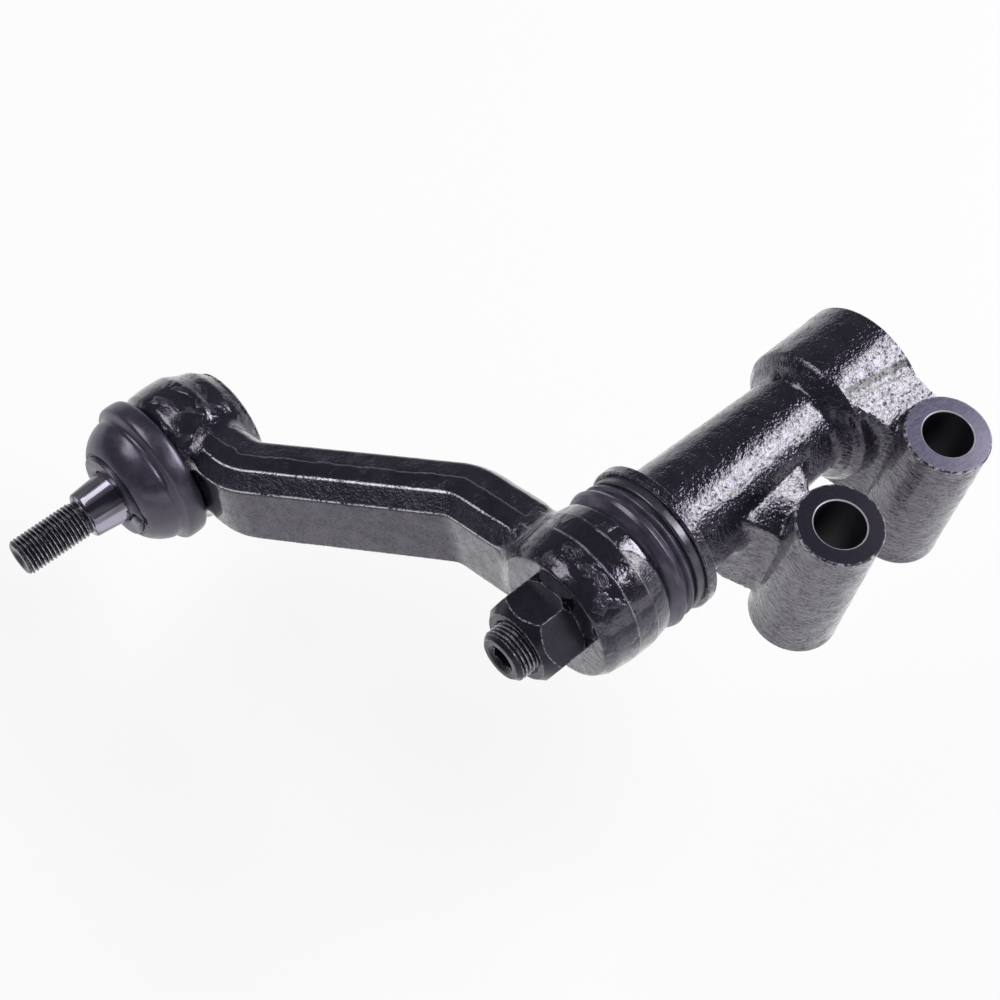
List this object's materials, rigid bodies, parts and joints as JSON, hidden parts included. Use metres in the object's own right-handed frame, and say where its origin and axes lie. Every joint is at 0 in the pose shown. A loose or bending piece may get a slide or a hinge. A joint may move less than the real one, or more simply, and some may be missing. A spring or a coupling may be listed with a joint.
{
  "type": "idler arm",
  "caption": "Steering idler arm: a cranked forged arm with a ball joint turns on a shaft in a cast bracket with side-by-side bolt bosses.",
  "frame": {"origin": "midpoint between the two bolt bores, on the plane of the machined boss faces", "axes": "+Z along the bolt bores out of those faces, +X along the pivot shaft from its nut towards the closed end of the bracket, +Y from the bolt bosses towards the pivot shaft"},
  "size_m": [0.247, 0.2339, 0.1222],
  "materials": {
    "bracket_paint": "glossy black paint over sand-cast iron",
    "arm_paint": "glossy black paint over forged steel",
    "nut_steel": "satin dark plated steel",
    "shaft_steel": "bright ground steel",
    "stud_steel": "bright ground steel",
    "bush_bronze": "bronze, machined",
    "washer_steel": "ground steel",
    "spring_steel": "dark spring steel",
    "cover_steel": "dark plated steel",
    "seal_rubber": "satin rubber",
    "boot_rubber": "satin rubber",
    "seat_polymer": "moulded polymer"
  },
  "bodies": {
    "bracket": {"bracket_housing": "bracket_paint", "front_bushing": "bush_bronze", "rear_bushing": "bush_bronze", "front_thrust_washer": "washer_steel", "rear_thrust_washer": "washer_steel", "thrust_pad": "washer_steel", "preload_spring": "spring_steel", "end_plug": "cover_steel", "snap_ring": "spring_steel", "dust_seal": "seal_rubber", "seal_retainer": "cover_steel"},
    "arm": {"idler_arm": "arm_paint", "pivot_shaft": "shaft_steel", "pivot_nut": "nut_steel", "shaft_spacer": "washer_steel", "front_ball_seat": "seat_polymer", "rear_ball_seat": "seat_polymer", "seat_spring": "spring_steel", "socket_cover": "cover_steel", "dust_boot": "boot_rubber", "boot_insert_ring": "spring_steel"},
    "stud_tilt": {"boot_neck_ring": "spring_steel"},
    "stud": {"ball_stud": "stud_steel"}
  },
  "joints": [
    {"name": "arm_pivot", "type": "hinge", "parent": "bracket", "child": "arm", "pos_m": [0, 0.0394, -0.0217], "axis": [1, 0, 0], "range_deg": [-20.6, 69.4]},
    {"name": "ball_tilt", "type": "hinge", "parent": "arm", "child": "stud_tilt", "pos_m": [-0.133, 0.19112, -0.09052], "axis": [0, 0.4131, 0.9107], "range_deg": [-16, 16], "deforming": ["dust_boot"]},
    {"name": "stud_spin", "type": "hinge", "parent": "stud_tilt", "child": "stud", "pos_m": [-0.133, 0.19112, -0.09052], "axis": [1, 0, 0], "continuous": true}
  ]
}
